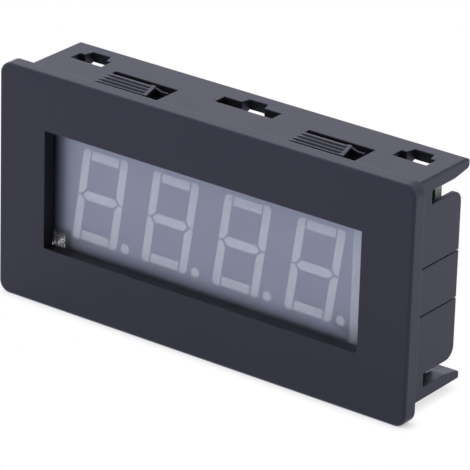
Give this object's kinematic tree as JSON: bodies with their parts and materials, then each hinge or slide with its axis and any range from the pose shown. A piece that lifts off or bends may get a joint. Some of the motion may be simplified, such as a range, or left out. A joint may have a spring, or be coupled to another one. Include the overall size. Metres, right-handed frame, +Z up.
{
  "type": "digital panel meter",
  "caption": "Snap-in panel meter: flanged black case with a smoked window over a digit display, saw-toothed spring arms, and an open back with its circuit board.",
  "frame": {"origin": "centre of the panel cut-out, on the plane where the bezel's rear face seats on the panel", "axes": "+X to the right seen from the front, +Y from the front to the back, +Z up"},
  "size_m": [0.072, 0.0197, 0.036],
  "materials": {
    "case_black": "fine satin moulded black ABS",
    "smoked_film": "satin smoked film",
    "display_body": "pale moulded display body",
    "display_print": "printed matt grey face",
    "segment_resin": "milky cast resin, unlit",
    "tinned_metal": "bright tin plating",
    "board_green": "green solder mask over glass fibre",
    "solder": "bright solder",
    "chip_black": "matt moulded epoxy",
    "resistor_black": "glazed black film on ceramic",
    "capacitor_tan": "tan ceramic",
    "tantalum_yellow": "yellow moulded resin",
    "trimmer_blue": "blue moulded plastic",
    "rotor_white": "white moulded plastic",
    "header_white": "natural white nylon"
  },
  "bodies": {
    "meter": {"case": "case_black", "window_film": "smoked_film", "display_shell": "display_body", "display_face": "display_print", "display_segments": "segment_resin", "display_points": "segment_resin", "display_pins": "tinned_metal", "circuit_board": "board_green", "solder_joints": "solder", "controller_chip": "chip_black", "controller_leads": "tinned_metal", "driver_chip": "chip_black", "driver_leads": "tinned_metal", "digit_transistors": "chip_black", "transistor_leads": "tinned_metal", "voltage_regulator": "chip_black", "regulator_leads": "tinned_metal", "chip_resistors": "resistor_black", "resistor_ends": "tinned_metal", "chip_capacitors": "capacitor_tan", "capacitor_ends": "tinned_metal", "tantalum_capacitor": "tantalum_yellow", "tantalum_ends": "tinned_metal", "trimmer_body": "trimmer_blue", "trimmer_ends": "tinned_metal", "input_header": "header_white", "header_pins": "tinned_metal"},
    "adjuster": {"trimmer_rotor": "rotor_white"}
  },
  "joints": [
    {"name": "calibration_turn", "type": "hinge", "parent": "meter", "child": "adjuster", "pos_m": [0.02705, 0.0126, 0.00975], "axis": [0, 1, 0], "range_deg": [-105, 105]}
  ]
}
